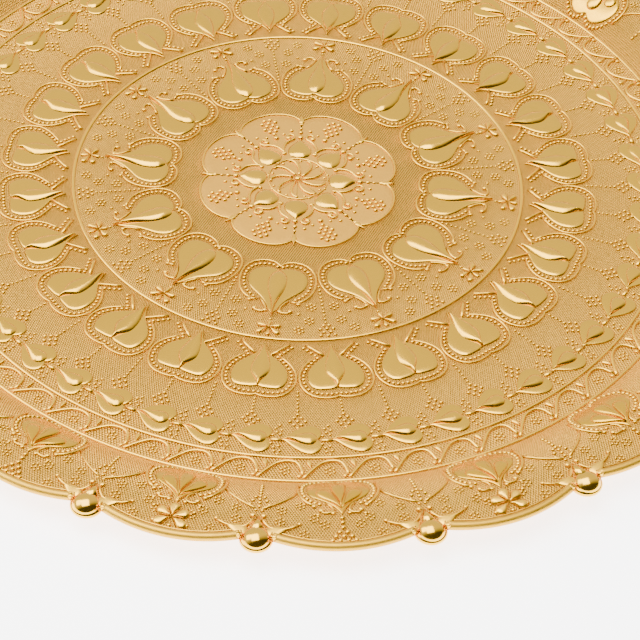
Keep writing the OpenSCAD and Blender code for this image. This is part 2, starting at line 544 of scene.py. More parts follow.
def node_group(name, inputs, outputs):
    """A new shader group with its input and output nodes."""
    group = bpy.data.node_groups.new(name, "ShaderNodeTree")
    for label, kind, default in inputs:
        socket = group.interface.new_socket(label, in_out="INPUT", socket_type=kind)
        socket.default_value = default
    for label, kind in outputs:
        group.interface.new_socket(label, in_out="OUTPUT", socket_type=kind)
    return group, group.nodes.new("NodeGroupInput"), group.nodes.new("NodeGroupOutput")


class Wires:
    """Adds nodes to a tree and links them."""

    def __init__(self, tree):
        self.nodes, self.links = tree.nodes, tree.links

    def place(self):
        """Object coordinates."""
        return self.nodes.new("ShaderNodeTexCoord").outputs["Object"]

    def maths(self, operation, *values):
        """A math node fed by sockets or numbers."""
        node = self.nodes.new("ShaderNodeMath")
        node.operation = operation
        for socket, value in zip(node.inputs, values):
            if isinstance(value, (int, float)):
                socket.default_value = value
            else:
                self.links.new(value, socket)
        return node.outputs[0]

    def noise(self, scale, detail):
        """Noise on object coordinates."""
        texture = self.nodes.new("ShaderNodeTexNoise")
        texture.inputs["Scale"].default_value = scale
        texture.inputs["Detail"].default_value = detail
        self.links.new(self.place(), texture.inputs["Vector"])
        return texture.outputs["Fac"]

    def mix(self, kind, factor, first, second):
        """A mix of two sockets."""
        node = self.nodes.new("ShaderNodeMix")
        node.data_type = kind
        for name, source in (("Factor", factor), ("A", first), ("B", second)):
            self.links.new(source, node.inputs[name])
        return node.outputs["Result"]

    def span(self, value, from_min, from_max, to_min=0.0, to_max=1.0):
        """A value carried from one range to another."""
        node = self.nodes.new("ShaderNodeMapRange")
        self.links.new(value, node.inputs["Value"])
        names = ("From Min", "From Max", "To Min", "To Max")
        for name, limit in zip(names, (from_min, from_max, to_min, to_max)):
            node.inputs[name].default_value = limit
        return node.outputs["Result"]


def tarnish_group():
    """Slow changes of colour and polish over brass, with fine specks, and painted shade where Rise is low."""
    name = "brass_tarnish"
    if name in bpy.data.node_groups:
        return bpy.data.node_groups[name]
    group, given, result = node_group(
        name,
        [
            ("Clean", "NodeSocketColor", (0.8, 0.55, 0.2, 1.0)),
            ("Tarnish And Shade", "NodeSocketColor", (0.6, 0.35, 0.12, 1.0)),
            ("Amount", "NodeSocketFloat", 0.3),
            ("Polished", "NodeSocketFloat", 0.2),
            ("Dulled", "NodeSocketFloat", 0.4),
            # Rise is the mask for painted shade: 0 paints the tarnish-and-shade colour as shade, 1 leaves the
            # surface
            ("Rise", "NodeSocketFloat", 1.0),
        ],
        [("Color", "NodeSocketColor"), ("Roughness", "NodeSocketFloat")],
    )
    wires = Wires(group)
    tarnish_and_shade = given.outputs["Tarnish And Shade"]
    patches = wires.maths("MULTIPLY", wires.noise(14.0, 4.0), wires.noise(420.0, 3.0))
    spread = wires.span(patches, 0.14, 0.40)
    tarnished = wires.maths("MULTIPLY", spread, given.outputs["Amount"])
    surface = wires.mix("RGBA", tarnished, given.outputs["Clean"], tarnish_and_shade)
    # painted shade: where Rise is low (crevices, feet of the relief, hatch grooves) the surface takes the
    # tarnish-and-shade colour as painted shade
    surface = wires.mix("RGBA", given.outputs["Rise"], tarnish_and_shade, surface)
    polish = wires.mix("FLOAT", spread, given.outputs["Polished"], given.outputs["Dulled"])
    group.links.new(surface, result.inputs["Color"])
    group.links.new(polish, result.inputs["Roughness"])
    return group


def hatch_group():
    """Heights of a fine crossed hatch, and of straight lines round the medallion."""
    name = "hatched_ground"
    if name in bpy.data.node_groups:
        return bpy.data.node_groups[name]
    group, given, result = node_group(
        name,
        [
            ("Lines Round", "NodeSocketFloat", 280.0),
            ("Ring", "NodeSocketFloat", 0.080),
            ("Wall", "NodeSocketFloat", 0.142),
            ("Line Pitch", "NodeSocketFloat", 0.00085),
            ("Inner Radius", "NodeSocketFloat", 0.044),
        ],
        [("Height", "NodeSocketFloat")],
    )
    maths = Wires(group).maths
    axes = group.nodes.new("ShaderNodeSeparateXYZ")
    group.links.new(Wires(group).place(), axes.inputs["Vector"])
    x, y = axes.outputs["X"], axes.outputs["Y"]
    turn = maths("ARCTAN2", y, x)
    far = maths("SQRT", maths("ADD", maths("MULTIPLY", x, x), maths("MULTIPLY", y, y)))
    grown = maths("LOGARITHM", far, math.e)
    # the number of lines goes up at the inner ring and again at the wall
    zones = maths("ADD", maths("GREATER_THAN", far, given.outputs["Ring"]), 2.0)
    zones = maths("ADD", maths("GREATER_THAN", far, given.outputs["Wall"]), zones)
    count = maths("MULTIPLY", zones, given.outputs["Lines Round"])
    crossed = []
    for sign in (0.6, -0.6):
        spiral = maths("ADD", turn, maths("MULTIPLY", grown, sign))
        crossed.append(maths("SINE", maths("MULTIPLY", spiral, count)))
    outer = maths("MULTIPLY", maths("ADD", *crossed), 0.5)
    lean = math.radians(65.0)
    off_line = maths("SUBTRACT", maths("MULTIPLY", x, math.sin(lean)), maths("MULTIPLY", y, math.cos(lean)))
    phase = maths("DIVIDE", maths("MULTIPLY", off_line, 2 * math.pi), given.outputs["Line Pitch"])
    inner = maths("MULTIPLY_ADD", maths("SINE", phase), 0.85, 0.25)
    inside = maths("LESS_THAN", far, given.outputs["Inner Radius"])
    lines = Wires(group).mix("FLOAT", inside, outer, inner)
    grain = maths("MULTIPLY", Wires(group).noise(700.0, 2.0), 0.8)
    group.links.new(maths("ADD", lines, grain), result.inputs["Height"])
    return group


def tinted(base, *factors):
    """A colour with each channel scaled, or all of them by one factor."""
    return tuple(c * k for c, k in zip(base, factors * (3 // len(factors))))


# Depth of the fine grain on a smooth surface, in metres.
GRAIN = 0.00001


def brass(name, clean, tarnish_and_shade, amount, polished, dulled, surface="", depth=GRAIN):
    """A brass material with tarnish, and a hatched, creviced or plain surface; hatch grooves and crevices get
    painted shade.
    """
    if name in bpy.data.materials:
        return bpy.data.materials[name]
    material = bpy.data.materials.new(name)
    material.use_nodes = True
    nodes, links = material.node_tree.nodes, material.node_tree.links
    wires = Wires(material.node_tree)
    shader = nodes["Principled BSDF"]
    shader.inputs["Metallic"].default_value = 1.0
    tarnish = nodes.new("ShaderNodeGroup")
    tarnish.node_tree = tarnish_group()
    tarnish.inputs["Clean"].default_value = (*clean, 1.0)
    tarnish.inputs["Tarnish And Shade"].default_value = (*tarnish_and_shade, 1.0)
    tarnish.inputs["Amount"].default_value = amount
    tarnish.inputs["Polished"].default_value = polished
    tarnish.inputs["Dulled"].default_value = dulled
    links.new(tarnish.outputs["Color"], shader.inputs["Base Color"])
    links.new(tarnish.outputs["Roughness"], shader.inputs["Roughness"])
    if surface == "hatch":
        lines = nodes.new("ShaderNodeGroup")
        lines.node_tree = hatch_group()
        lines.inputs["Line Pitch"].default_value = bpy.context.scene.tray_sheet.hatch_pitch
        height, strength = lines.outputs["Height"], 1.0
        # painted shade: the hatch's grooves are mixed toward the tarnish-and-shade colour
        links.new(wires.maths("MULTIPLY_ADD", height, 1.20, 0.62), tarnish.inputs["Rise"])
    else:
        height, strength = wires.noise(260.0, 3.0), 0.6
    if surface == "crevices":
        # painted shade: the stored rise darkens the feet of the relief toward the tarnish-and-shade colour
        rise = nodes.new("ShaderNodeAttribute")
        rise.attribute_name = "rise"
        links.new(wires.maths("MULTIPLY_ADD", rise.outputs["Fac"], 0.95, 0.05), tarnish.inputs["Rise"])
    raised = nodes.new("ShaderNodeBump")
    raised.inputs["Strength"].default_value = strength
    raised.inputs["Distance"].default_value = depth
    links.new(height, raised.inputs["Height"])
    links.new(raised.outputs["Normal"], shader.inputs["Normal"])
    return material


def ground_brass():
    """Matt hatched ground of the sheet, with painted shade in the hatch's grooves."""
    f = bpy.context.scene.tray_finish
    rough = f.ground_roughness
    # the darker ground colour is the tarnish colour and also the painted shade in the hatch's grooves
    return brass("brass_ground", f.ground, tinted(f.ground, 0.45), 0.18, rough, rough + 0.1, "hatch", 0.00022)


def relief_brass():
    """Polished plates of the relief."""
    f = bpy.context.scene.tray_finish
    rough = f.relief_roughness
    return brass("brass_relief", f.relief, f.shade, 0.10, rough, rough + 0.08, "crevices")


def wall_brass():
    """Warmer plates of the wall hearts."""
    f = bpy.context.scene.tray_finish
    return brass("brass_wall", tinted(f.relief, 0.97, 0.94, 0.45), f.shade, 0.10, 0.24, 0.32, "crevices")


def line_brass():
    """Beads and thin lines, in a lighter copy of the relief brass as painted highlight."""
    f = bpy.context.scene.tray_finish
    # painted highlight: the relief colour made 1.18 times lighter so the lines read as catching the light
    return brass("brass_lines", tinted(f.relief, 1.18), f.shade, 0.08, 0.26, 0.34, "crevices")


def medallion_brass():
    """Frosted ground of the medallion's lobes."""
    f = bpy.context.scene.tray_finish
    pink = tinted(f.ground, 0.82, 0.79, 0.80)
    return brass("brass_frosted", pink, f.shade, 0.20, 0.46, 0.56, depth=0.00010)


def border_brass():
    """Satin border, in a darker copy of the relief brass as painted shade."""
    f = bpy.context.scene.tray_finish
    # painted shade: the relief colour at 0.8, darker to hold down the bright floor's reflection in the border
    return brass("brass_border", tinted(f.relief, 0.80), f.shade, 0.08, 0.44, 0.52)


def drop_brass():
    """Polished drops."""
    f = bpy.context.scene.tray_finish
    return brass("brass_drop", f.relief, f.shade, 0.06, 0.14, 0.20)


# -------------------------------------------------------------------- pieces


class TrayOperator:
    """What every step of the tray shares."""

    bl_options = {"REGISTER", "UNDO"}

    def execute(self, context):
        self.build(context, Sheet(context.scene))
        return {"FINISHED"}


class TRAY_OT_sheet(TrayOperator, bpy.types.Operator):
    """Turn the floor and wall, and draw the flange out to its scallops"""

    bl_idname = "tray.sheet"
    bl_label = "Pressed Sheet"

    def build(self, context, sheet):
        rim = context.scene.tray_rim
        per_scallop, wall_steps, flange_steps = 24, 18, 6
        bm = bmesh.new()
        radii = [0.0, 20.0, 45.0, 80.0, 110.0, 132.0, 140.0, sheet.floor_r - 0.5, sheet.floor_r]
        wall = sheet.crest_r - sheet.floor_r
        radii += [sheet.floor_r + wall * k / wall_steps for k in range(1, wall_steps + 1)]
        profile = [(r, 0.0, sheet.height(r)[0]) for r in radii]
        start_ring(bm, profile, closed=False)
        turn_all(bm, rim.first_joint)
        spin_round(bm, per_scallop * rim.scallops)
        bmesh.ops.remove_doubles(bm, verts=bm.verts, dist=0.001)
        for k in range(1, flange_steps + 1):
            rim_edges = [e for e in bm.edges if e.is_boundary]
            out = bmesh.ops.extrude_edge_only(bm, edges=rim_edges)
            for vert in (g for g in out["geom"] if isinstance(g, bmesh.types.BMVert)):
                turn = math.atan2(vert.co.y, vert.co.x)
                off = (turn - rim.first_joint) % sheet.step - sheet.step / 2
                along, aside = sheet.scallop_at * math.cos(off), sheet.scallop_at * math.sin(off)
                edge = along + math.sqrt(sheet.arc_r**2 - aside**2)
                r = sheet.crest_r + (edge - sheet.crest_r) * k / flange_steps
                vert.co = (r * math.cos(turn), r * math.sin(turn), sheet.height(r)[0])
        top = make_piece("pressed_sheet", bm, ground_brass(), ["tray_pan"])
        solid = top.modifiers.new("sheet thickness", "SOLIDIFY")
        solid.thickness = context.scene.tray_sheet.thickness - CLEARANCE
        solid.offset = -1.0


class TRAY_OT_rings(TrayOperator, bpy.types.Operator):
    """Raise the three round lines of the floor"""

    bl_idname = "tray.rings"
    bl_label = "Raised Rings"

    def build(self, context, sheet):
        s = context.scene.tray_sheet
        section = ((-0.78, -FOOT), (-0.70, 0.16), (-0.44, 0.44), (0.0, 0.60))
        section += ((0.44, 0.44), (0.62, 0.16), (0.70, -FOOT))
        bm = bmesh.new()
        for r in (s.ring_inner, s.ring_middle, s.ring_outer):
            start_ring(bm, [(r / MM + x, 0.0, z) for x, z in section])
        spin_round(bm, 240)
        sheet.emboss("raised_rings", bm, line_brass())


class TRAY_OT_inner_hearts(TrayOperator, bpy.types.Operator):
    """Raise the inner row of hearts, with their outlines, bows and dotted fields"""

    bl_idname = "tray.inner_hearts"
    bl_label = "Inner Hearts"

    def build(self, context, sheet):
        relief = context.scene.tray_relief
        plates = bmesh.new()
        heart = chain(
            (47.4, 0.0),
            ((46.3, 1.2), (46.0, 3.0), (46.1, 4.6)),
            ((46.3, 8.2), (48.6, 10.4), (51.8, 10.4)),
            ((55.4, 10.4), (57.2, 8.6), (59.0, 6.7)),
            ((61.0, 4.7), (62.6, 3.3), (64.6, 2.4)),
            ((66.0, 1.8), (67.4, 1.1), (68.6, 0.0)),
        )
        dome(plates, both_sides(heart), (53.0, 68.6, 0.0), sheet.plate, steps=PLATE)
        boss = chain(
            (47.6, 0.0),
            ((47.8, 1.1), (49.2, 3.3), (53.2, 3.3)),
            ((57.6, 3.3), (60.0, 1.8), (63.5, 1.0)),
            ((66.0, 0.5), (68.0, 0.35), (70.0, 0.0)),
        )
        dome(plates, both_sides(boss), (52.0, 69.0, 0.0), 1.15, base=sheet.plate - 0.04, steps=BOSS)
        sheet.emboss("inner_heart_plates", plates, relief_brass(), relief.inner_hearts, HEARTS_TURN)

        lines = bmesh.new()
        thin = chain(
            (45.4, 0.0),
            ((43.8, 1.0), (43.0, 2.6), (43.0, 5.0)),
            ((43.0, 10.2), (47.2, 13.1), (52.4, 13.1)),
            ((57.0, 13.1), (60.2, 11.6), (62.2, 8.0)),
        )
        ridge(lines, across(thin), sheet.line, 0.6)
        row = chain(
            (45.6, 0.9),
            ((44.7, 2.0), (44.6, 3.4), (44.7, 5.0)),
            ((45.0, 9.4), (48.0, 11.6), (52.2, 11.6)),
            ((56.0, 11.6), (58.6, 10.2), (60.8, 7.2)),
        )
        curl = chain(
            (61.6, 4.9),
            ((63.6, 3.4), (65.0, 2.4), (66.4, 2.3)),
            ((67.6, 2.3), (67.8, 3.2), (67.7, 4.4)),
            ((67.6, 5.2), (67.4, 5.8), (66.8, 6.2)),
            count=4,
        )
        for sign in (1, -1):
            bead_row(lines, mirrored(row, sign), sheet.pitch, sheet.bead)
            ridge(lines, mirrored(curl, sign), sheet.line, 0.65)
            ridge(lines, mirrored([(62.2, 8.2), (62.3, 7.0), (61.8, 5.8)], sign), sheet.line, 0.6)
            for x, y, r in ((66.5, 6.1, 0.95), (67.0, 2.5, 0.85), (62.6, 8.4, 0.80), (67.2, 9.0, 0.60)):
                bead(lines, x, sign * y, r, smooth=True)
        petals(lines, 75.0, 4.4, 2.3, 0.9, (112, -112))
        petals(lines, 75.0, 4.8, 2.3, 0.9, (56, -56))
        petals(lines, 75.2, 3.6, 1.6, 0.7, (0, 180))
        bead(lines, 70.9, 0.0, 0.6)
        # fields between the hearts: a dotted stem that ends in a cluster, and florets
        field = bmesh.new()
        bead_row(field, [(55.0, 0.0), (72.0, 0.0)], STEM_PITCH, sheet.bead * 0.8)
        cluster(field, INNER_BUNCH, 0.72)
        floret_pairs(field, FIELD_FLORETS)
        turn_all(field, math.pi / relief.inner_hearts)
        add_to(lines, field)
        sheet.emboss("inner_heart_lines", lines, line_brass(), relief.inner_hearts, HEARTS_TURN)


class TRAY_OT_outer_hearts(TrayOperator, bpy.types.Operator):
    """Raise the outer row of hearts, with the zigzag above and the stems below them"""

    bl_idname = "tray.outer_hearts"
    bl_label = "Outer Hearts"

    def build(self, context, sheet):
        relief = context.scene.tray_relief
        plates = bmesh.new()
        heart = chain(
            (82.6, 0.0),
            ((84.6, 0.6), (86.6, 1.6), (88.4, 3.6)),
            ((90.6, 6.2), (92.4, 9.5), (97.0, 9.6)),
            ((100.6, 9.6), (102.6, 8.0), (102.6, 5.6)),
            ((102.6, 3.4), (102.8, 1.2), (101.8, 0.0)),
        )
        dome(plates, both_sides(heart), (83.0, 96.0, 0.0), sheet.plate * 1.15, steps=PLATE)
        boss = chain(
            (83.4, 0.0),
            ((86.0, 0.7), (89.6, 3.2), (94.6, 3.3)),
            ((96.8, 3.3), (98.6, 1.6), (99.8, 0.9)),
            ((100.6, 0.6), (101.6, 0.6), (102.0, 0.0)),
        )
        dome(plates, both_sides(boss), (84.0, 99.0, 0.0), 1.10, base=sheet.plate, steps=BOSS)
        sheet.emboss("outer_heart_plates", plates, relief_brass(), relief.outer_hearts, HEARTS_TURN)

        lines = bmesh.new()
        around = chain(
            (105.6, 0.0),
            ((106.4, 1.0), (106.4, 2.6), (106.4, 4.4)),
            ((106.2, 9.6), (102.4, 12.3), (97.6, 12.3)),
            ((93.6, 12.3), (90.6, 9.6), (87.8, 5.6)),
        )
        ridge(lines, across(around), sheet.line, 0.6)
        row = chain(
            (104.5, 0.8),
            ((104.7, 2.4), (104.6, 3.8), (104.4, 5.4)),
            ((103.8, 9.2), (101.6, 10.9), (97.6, 10.9)),
            ((93.6, 10.9), (90.6, 7.6), (88.2, 5.0)),
        )
        ribbon = [(87.7, 2.6), (85.4, 4.8), (83.4, 6.7), (81.9, 8.0)]
        beside = [(87.0, 5.6), (85.4, 7.2), (83.2, 9.0)]
        for sign in (1, -1):
            bead_row(lines, mirrored(row, sign), sheet.pitch, sheet.bead)
            ridge(lines, mirrored(ribbon, sign), sheet.line * 1.3, 0.7)
            bead_row(lines, mirrored(beside, sign), sheet.pitch, sheet.bead)
        # stems on the hearts' axes and between them
        for turn, start in ((0.0, 107.6), (math.pi / relief.outer_hearts, 103.6)):
            stem = bmesh.new()
            bead_row(stem, [(start, 0.0), (112.0, 0.0)], STEM_PITCH, sheet.bead * 0.8)
            cluster(stem, OUTER_BUNCH, 0.74)
            turn_all(stem, turn)
            add_to(lines, stem)
        sheet.emboss("outer_heart_lines", lines, line_brass(), relief.outer_hearts, HEARTS_TURN)


class TRAY_OT_leaf_chain(TrayOperator, bpy.types.Operator):
    """Raise the chain of sideways leaves"""

    bl_idname = "tray.leaf_chain"
    bl_label = "Leaf Chain"

    def build(self, context, sheet):
        relief = context.scene.tray_relief
        chain_r, half_leaf = 124.4, 6.6
        plates = bmesh.new()
        leaf = both_sides(
            chain(
                (-0.6, 0.0),
                ((2.0, 0.7), (3.6, 5.0), (8.0, 6.2)),
                ((10.6, 6.8), (12.8, 4.8), (12.9, 3.0)),
                ((12.9, 1.6), (12.4, 0.7), (11.6, 0.0)),
            )
        )
        dome(plates, leaf, (3.0, 9.0, 0.0), 0.62, steps=PLATE)
        drop = moved(teardrop(11.2, 5.4), 0.2)
        dome(plates, drop, (2.6, 8.4, 0.0), 1.0, base=0.56, steps=BOSS)
        turn_all(plates, math.pi / 2)
        bmesh.ops.translate(plates, verts=plates.verts, vec=(chain_r, -half_leaf, 0))
        sheet.emboss("leaf_chain", plates, relief_brass(), relief.leaves, LEAVES_TURN)

        lines = bmesh.new()
        side = chain_r * math.pi / relief.leaves
        ridge(lines, [(chain_r, side - 2.0), (chain_r, side + 1.6)], 0.8, 0.6)
        cluster(lines, moved(LEAF_DOTS, chain_r, side), 0.62)
        sheet.emboss("leaf_chain_beads", lines, line_brass(), relief.leaves, LEAVES_TURN)


class TRAY_OT_arches(TrayOperator, bpy.types.Operator):
    """Raise the running arches between the two outer rings"""

    bl_idname = "tray.arches"
    bl_label = "Arches"

    def build(self, context, sheet):
        relief = context.scene.tray_relief
        bm = bmesh.new()
        arch = chain(
            (140.8, -8.6),
            ((138.4, -6.6), (136.2, -4.4), (134.9, -2.8)),
            ((133.4, -0.8), (133.3, 2.0), (134.0, 3.6)),
            ((134.8, 5.0), (136.6, 5.7), (139.6, 6.0)),
            count=5,
        )
        ridge(bm, arch, sheet.line * 1.45, 0.75)
        bead(bm, 139.9, 4.9, 0.85, smooth=True)
        bead(bm, 140.2, 6.6, 0.75, smooth=True)
        leaf = moved(teardrop(4.0, 1.9, count=4), 137.2, -5.8, turn=math.radians(-172))
        dome(bm, leaf, (134.0, 136.5, -6.1), 0.7)
        floret(bm, 137.6, 0.3)
        sheet.emboss("running_arches", bm, line_brass(), relief.arches, ARCHES_TURN)


class TRAY_OT_medallion(TrayOperator, bpy.types.Operator):
    """Raise the lobed medallion and its rosette"""

    bl_idname = "tray.medallion"
    bl_label = "Medallion"

    def build(self, context, sheet):
        n = context.scene.tray_relief.lobes
        half = math.pi / n
        # one lobe from cusp to cusp, centred on +x
        cusp_r = 29.0
        cusp = (cusp_r * math.cos(half), cusp_r * math.sin(half))
        lobe = chain(
            (36.0, 0.0),
            ((36.0, 4.6), (34.0, 9.6), (30.4, 11.4)),
            ((28.8, 12.2), (27.4, 12.0), cusp),
        )
        lobe_path = across(lobe)
        ground = bmesh.new()
        outline = []
        for k in range(n):
            outline += moved(lobe_path[:-1], 0.0, turn=2 * half * k)
        dome(ground, outline, (0.0, 0.0, 0.0), MEDAL_RISE, steps=MEDAL)
        sheet.emboss("medallion_ground", ground, medallion_brass(), first_turn=LOBES_TURN)

        lines = bmesh.new()
        ridge(lines, lobe_path, sheet.line, 0.6)
        cluster(lines, MEDAL_BUNCH, 0.95, base=0.12)
        bead(lines, 23.0, 0.0, 1.1, base=0.12, smooth=True)
        repeat(lines, n, LOBES_TURN)
        more = bmesh.new()
        # on the axis of a boss: a leaf beyond the cusp, and curls and dots round the boss
        leaf = moved(teardrop(4.8, 2.2, count=4), 34.6, turn=math.pi)
        dome(more, leaf, (31.0, 33.5, 0.0), 0.7)
        curl = chain(
            (13.0, 5.6),
            ((16.0, 6.6), (19.0, 5.6), (20.4, 3.2)),
            ((21.2, 1.8), (22.8, 1.8), (23.4, 3.0)),
            ((23.8, 4.2), (22.8, 5.2), (21.6, 4.8)),
        )
        for sign in (1, -1):
            ridge(more, mirrored(curl, sign), sheet.line * 1.2, 0.75, base=MEDAL_BASE)
            bead(more, 21.6, sign * 4.4, 1.1, base=MEDAL_BASE, smooth=True)
            bead(more, 13.2, sign * 5.6, 0.9, base=MEDAL_BASE, smooth=True)
            bead(more, 25.8, sign * 3.4, 0.8, base=MEDAL_BASE)
            bead(more, 23.6, sign * 6.2, 0.7, base=MEDAL_BASE)
        bead(more, 22.2, 0.0, 1.15, base=MEDAL_BASE, smooth=True)
        bead(more, 25.0, 0.0, 0.9, base=MEDAL_BASE)
        bead(more, 27.2, 0.0, 0.7, base=MEDAL_BASE)
        repeat(more, n, BOSSES_TURN)
        add_to(lines, more)
        sheet.emboss("medallion_lines", lines, line_brass())

        bosses = bmesh.new()
        boss = both_sides(
            chain(
                (11.0, 0.0),
                ((11.0, 2.6), (12.4, 4.3), (14.8, 4.3)),
                ((17.4, 4.3), (18.8, 2.0), (21.4, 0.0)),
            )
        )
        dome(bosses, boss, (14.0, 18.0, 0.0), 1.1, base=MEDAL_BASE, steps=BOSS)
        sheet.emboss("medallion_bosses", bosses, relief_brass(), n, BOSSES_TURN)

        rosette = bmesh.new()
        blade = chain(
            (1.8, 0.0),
            ((4.0, 0.2), (6.4, 0.8), (7.8, 2.4)),
            ((8.8, 3.6), (9.0, 4.6), (8.2, 5.2)),
            count=5,
        )
        ridge(rosette, blade, 0.62, 0.8, base=MEDAL_BASE)
        bead(rosette, 9.4, 1.1, 0.65, base=MEDAL_BASE)
        bead(rosette, 10.4, 2.6, 0.65, base=MEDAL_BASE)
        blades, ring_r, ring_steps = 9, 10.6, 48
        repeat(rosette, blades, 0.0)
        turns = [2 * math.pi * k / ring_steps for k in range(ring_steps)]
        ring = [(ring_r * math.cos(a), ring_r * math.sin(a)) for a in turns]
        ridge(rosette, ring, 0.42, 0.5, base=MEDAL_BASE, closed=True)
        bead(rosette, 0.0, 0.0, 1.3, base=MEDAL_BASE, smooth=True)
        sheet.emboss("medallion_rosette", rosette, line_brass())


class TRAY_OT_rim_hearts(TrayOperator, bpy.types.Operator):
    """Raise the hearts on the wall"""

    bl_idname = "tray.rim_hearts"
    bl_label = "Wall Hearts"

    def build(self, context, sheet):
        rim = context.scene.tray_rim
        first = rim.first_joint + sheet.step / 2
        plates = bmesh.new()
        heart = chain(
            (146.0, 0.0),
            ((144.6, 1.4), (144.0, 3.4), (144.6, 5.4)),
            ((145.6, 8.8), (149.0, 10.2), (151.8, 10.0)),
            ((154.6, 9.8), (156.0, 7.4), (157.6, 5.0)),
            ((159.0, 3.0), (160.8, 1.2), (163.4, 0.0)),
        )
        dome(plates, both_sides(heart), (151.0, 162.0, 0.0), 0.6, steps=PLATE, inner=BENT)
        # flutes that fan out from the tip: the middle one, then one on each side
        for length, width, end, rise, lean in (
            (14.0, 5.4, 9.6, 1.2, 0.0),
            (11.5, 4.6, 8.1, 0.9, 33.0),
            (11.5, 4.6, 8.1, 0.9, -33.0),
        ):
            flute = bmesh.new()
            dome(flute, teardrop(length, width), (3.0, end, 0.0), rise, base=0.45)
            turn_all(flute, math.pi - math.radians(lean))
            bmesh.ops.translate(flute, verts=flute.verts, vec=(161.4, 0, 0))
            add_to(plates, flute)
        sheet.emboss("wall_heart_plates", plates, wall_brass(), rim.scallops, first)

        lines = bmesh.new()
        row = chain(
            (145.0, 0.9),
            ((143.4, 2.2), (143.0, 4.0), (143.4, 6.0)),
            ((144.6, 9.8), (148.4, 11.4), (151.8, 11.3)),
            ((155.0, 11.2), (157.4, 9.4), (158.6, 6.4)),
        )
        thin = chain(
            (147.6, 12.0),
            ((151.6, 13.6), (156.4, 12.4), (159.4, 8.4)),
        )
        curl = chain(
            (158.4, 4.4),
            ((159.8, 2.8), (160.8, 2.4), (161.6, 2.6)),
            ((162.6, 2.9), (162.6, 4.0), (162.6, 5.0)),
            ((162.6, 5.6), (162.2, 6.0), (161.8, 6.2)),
            count=4,
        )
        for sign in (1, -1):
            bead_row(lines, mirrored(row, sign), sheet.pitch, sheet.bead * 1.1)
            ridge(lines, mirrored(thin, sign), sheet.line * 1.2, 0.7)
            ridge(lines, mirrored(curl, sign), sheet.line, 0.65)
            for x, y, r in ((161.4, 6.2, 0.95), (162.6, 2.6, 0.8), (159.4, 8.2, 0.9), (163.0, 7.4, 0.6)):
                bead(lines, x, sign * y, r, smooth=True)
        sheet.emboss("wall_heart_lines", lines, line_brass(), rim.scallops, first)


class TRAY_OT_flange_motifs(TrayOperator, bpy.types.Operator):
    """Raise the flowers, clusters, ferns and florets near the border"""

    bl_idname = "tray.flange_motifs"
    bl_label = "Flange Motifs"

    def build(self, context, sheet):
        rim = context.scene.tray_rim
        # beside each drop
        lines = bmesh.new()
        bead_row(lines, [(149.0, 0.0), (160.4, 0.0)], sheet.pitch, sheet.bead)
        vee = chain((161.6, 0.9), ((159.4, 4.4), (157.6, 8.4), (153.0, 11.0)))
        arm = chain(
            (165.6, 1.4),
            ((167.4, 2.6), (168.6, 3.2), (168.9, 5.0)),
            ((169.3, 7.4), (168.6, 10.2), (166.6, 12.6)),
        )
        # smooth leaf between the arm and the border
        leaf = moved(teardrop(9.4, 4.2, count=5), 167.4, 11.6, turn=math.radians(-69))
        for sign in (1, -1):
            bead_row(lines, mirrored([(156.0, 1.4), (159.6, 3.0)], sign), sheet.pitch, sheet.bead)
            ridge(lines, mirrored(vee, sign), sheet.line, 0.6)
            ridge(lines, mirrored(arm, sign), sheet.line * 1.1, 0.7)
            for x, y, r in ((164.2, 1.7, 0.95), (166.2, 12.8, 0.7), (162.0, 1.0, 0.6)):
                bead(lines, x, sign * y, r, smooth=True)
            dome(lines, mirrored(leaf, sign), (169.6, 170.6, sign * 6.0), 0.7)
        repeat(lines, rim.scallops, rim.first_joint)
        florets = bmesh.new()
        floret_pairs(florets, FLANGE_FLORETS, 1.3, 0.52)
        sheet.emboss("flange_florets", florets, line_brass(), rim.scallops, rim.first_joint)
        # the border's inner contour, scallop by scallop
        scallop = bmesh.new()
        inner_r, ends, steps = sheet.arc_r - 1.3, math.radians(25.0), 16
        turns = [ends * k / steps for k in range(-steps, steps + 1)]
        arc = [(sheet.scallop_at + inner_r * math.cos(a), inner_r * math.sin(a)) for a in turns]
        ridge(scallop, arc, 0.32, 0.3)
        repeat(scallop, rim.scallops, rim.first_joint + sheet.step / 2)
        # flowers and bouquets by turns in the middle of the scallops
        flower = bmesh.new()
        petals(flower, 169.4, 6.0, 3.8, 1.0, (180, 122, -122, 62, -62))
        cluster(flower, FLOWER_DOTS, 0.75)
        repeat(flower, rim.scallops // 2, rim.first_joint - sheet.step / 2)
        bouquet = bmesh.new()
        cluster(bouquet, RIM_BUNCH, 0.88)
        repeat(bouquet, rim.scallops // 2, rim.first_joint + sheet.step / 2)
        for other in (scallop, flower, bouquet):
            add_to(lines, other)
        sheet.emboss("flange_motifs", lines, line_brass())


